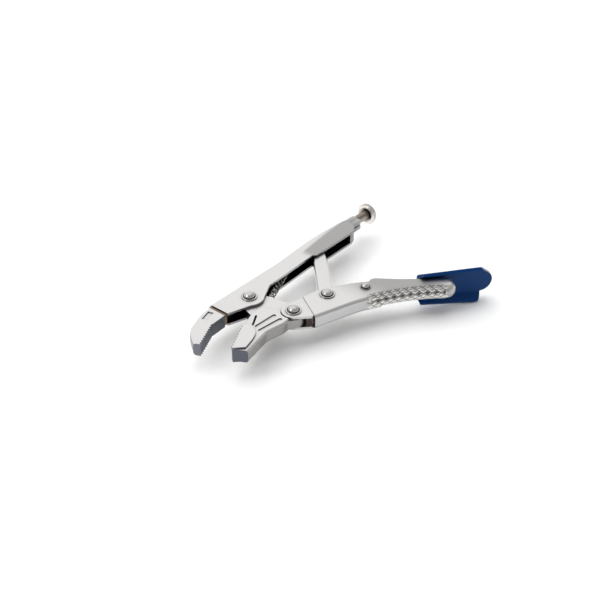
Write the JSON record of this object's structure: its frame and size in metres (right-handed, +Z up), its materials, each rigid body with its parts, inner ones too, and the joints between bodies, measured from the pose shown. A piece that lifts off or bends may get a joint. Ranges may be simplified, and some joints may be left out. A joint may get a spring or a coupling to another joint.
{
  "type": "locking pliers",
  "caption": "Small curved-jaw locking pliers with pressed channel handles, toggle link, adjusting screw and a vinyl-covered release trigger, shown open.",
  "frame": {"origin": "jaw pivot axis at the flat lower face of the jaw pivot rivet", "axes": "+X along the fixed handle from the jaws to the adjusting knob, +Y away from the lever handle, +Z up out of the domed rivet heads"},
  "size_m": [0.1382, 0.0835, 0.0194],
  "materials": {
    "nickel_plate": "satin",
    "rivet_steel": "satin",
    "dark_screw": "oiled",
    "spring_wire": "plain",
    "blue_vinyl": "gloss"
  },
  "bodies": {
    "handle": {"fixed_handle": "nickel_plate", "fixed_jaw": "nickel_plate", "jaw_pivot_rivet": "rivet_steel", "jaw_spring": "spring_wire"},
    "jaw": {"moving_jaw": "nickel_plate"},
    "lever": {"lever_handle": "nickel_plate", "lever_rivet": "rivet_steel", "link_rivet": "rivet_steel", "trigger_rivet": "rivet_steel"},
    "link": {"toggle_link": "nickel_plate"},
    "trigger": {"release_trigger": "nickel_plate", "trigger_grip": "blue_vinyl"},
    "screw": {"adjusting_screw": "dark_screw"},
    "knob": {"screw_knob": "nickel_plate"}
  },
  "joints": [
    {"name": "jaw_pivot", "type": "hinge", "parent": "handle", "child": "jaw", "pos_m": [0, 0, 0.0045], "axis": [0, 0, 1], "range_deg": [-17.4, 0], "deforming": ["jaw_spring"]},
    {"name": "lever_pivot", "type": "hinge", "parent": "jaw", "child": "lever", "pos_m": [0.0045, -0.0217, 0.0045], "axis": [0, 0, 1], "range_deg": [0, 51.4]},
    {"name": "link_pivot", "type": "hinge", "parent": "lever", "child": "link", "pos_m": [0.0233, -0.0254, 0.0045], "axis": [0, 0, 1], "range_deg": [-49.3, 0]},
    {"name": "trigger_pivot", "type": "hinge", "parent": "lever", "child": "trigger", "pos_m": [0.0387, -0.035, 0.0045], "axis": [0, 0, 1], "range_deg": [0, 7]},
    {"name": "screw_slide", "type": "slide", "parent": "handle", "child": "screw", "axis": [1, 0, 0], "range_m": [0, 0.006]},
    {"name": "knob_turn", "type": "hinge", "parent": "screw", "child": "knob", "pos_m": [0.0956, 0.0075, 0.0045], "axis": [1, 0, 0], "range_deg": [0, 2700]}
  ],
  "couplings": [
    {"joint": "lever_pivot", "follows": "jaw_pivot", "ratio": -2.95},
    {"joint": "link_pivot", "follows": "jaw_pivot", "ratio": 2.83},
    {"joint": "knob_turn", "follows": "screw_slide", "rad_per_m": 7854}
  ]
}
